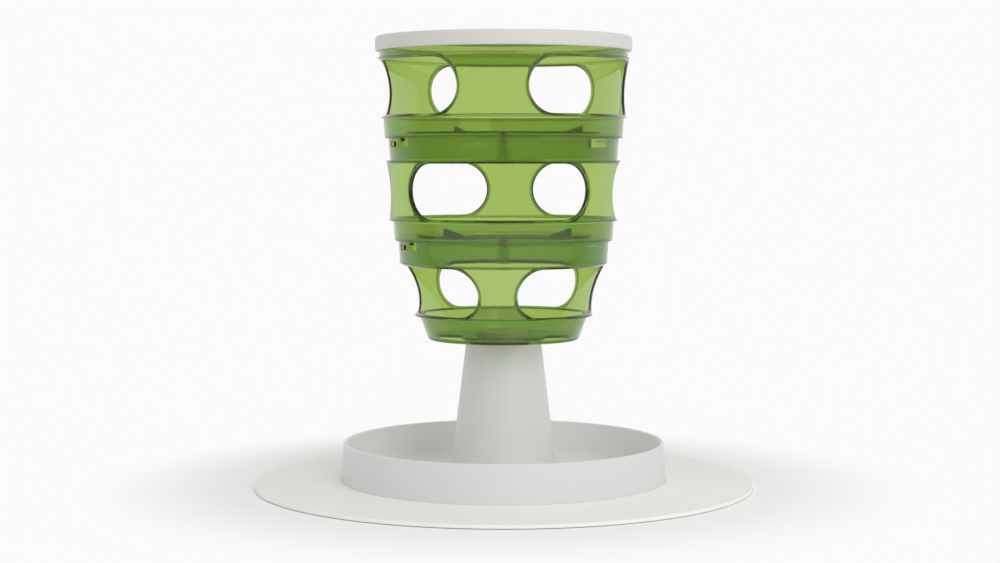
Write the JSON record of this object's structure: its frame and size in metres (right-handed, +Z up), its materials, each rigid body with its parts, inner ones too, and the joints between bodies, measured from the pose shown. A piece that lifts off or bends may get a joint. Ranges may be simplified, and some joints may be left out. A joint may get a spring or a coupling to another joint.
{
  "type": "cat puzzle feeder",
  "caption": "Free-standing cat puzzle feeder: stacked see-through tiers with round-ended paw windows on a tapered stem in a ring dish, for dry food that drops from tier to tier.",
  "frame": {"origin": "middle of the base on the table, under the rubber feet", "axes": "+Z up along the stem; -Y is the front, where the middle tier has a window and the other tiers a solid post"},
  "size_m": [0.35, 0.35, 0.3139],
  "materials": {
    "plate_plastic": "satin white moulded plastic",
    "foot_rubber": "matt dark rubber",
    "dish_plastic": "satin cool white moulded plastic",
    "stem_plastic": "satin white moulded plastic",
    "screw_steel": "plain zinc",
    "green_plastic": "see-through lime green, polished",
    "green_floor_plastic": "see-through lime green, polished",
    "green_gate_plastic": "see-through lime green, polished",
    "lid_plastic": "satin warm white moulded plastic"
  },
  "bodies": {
    "base": {"base_plate": "plate_plastic", "rubber_feet": "foot_rubber", "dish": "dish_plastic", "stem": "stem_plastic", "stem_screws": "screw_steel"},
    "bottom_tier": {"bottom_tier": "green_plastic"},
    "middle_tier": {"middle_tier": "green_plastic", "middle_floor": "green_floor_plastic"},
    "middle_gate": {"middle_gate": "green_gate_plastic"},
    "top_tier": {"top_tier": "green_plastic", "top_floor": "green_floor_plastic"},
    "top_gate": {"top_gate": "green_gate_plastic"},
    "lid": {"lid": "lid_plastic"}
  },
  "joints": [
    {"name": "bottom_tier_twist", "type": "hinge", "parent": "base", "child": "bottom_tier", "pos_m": [0, 0, 0.103], "axis": [0, 0, 1], "range_deg": [0, 28]},
    {"name": "middle_tier_twist", "type": "hinge", "parent": "bottom_tier", "child": "middle_tier", "pos_m": [0, 0, 0.172], "axis": [0, 0, 1], "range_deg": [0, 15]},
    {"name": "middle_gate_turn", "type": "hinge", "parent": "middle_tier", "child": "middle_gate", "pos_m": [0, 0, 0.18], "axis": [0, 0, 1], "range_deg": [0, 80]},
    {"name": "top_tier_twist", "type": "hinge", "parent": "middle_tier", "child": "top_tier", "pos_m": [0, 0, 0.243], "axis": [0, 0, 1], "range_deg": [0, 15]},
    {"name": "top_gate_turn", "type": "hinge", "parent": "top_tier", "child": "top_gate", "pos_m": [0, 0, 0.251], "axis": [0, 0, 1], "range_deg": [0, 80]},
    {"name": "lid_lift", "type": "slide", "parent": "top_tier", "child": "lid", "axis": [0, 0, 1], "range_m": [0, 0.06]}
  ]
}
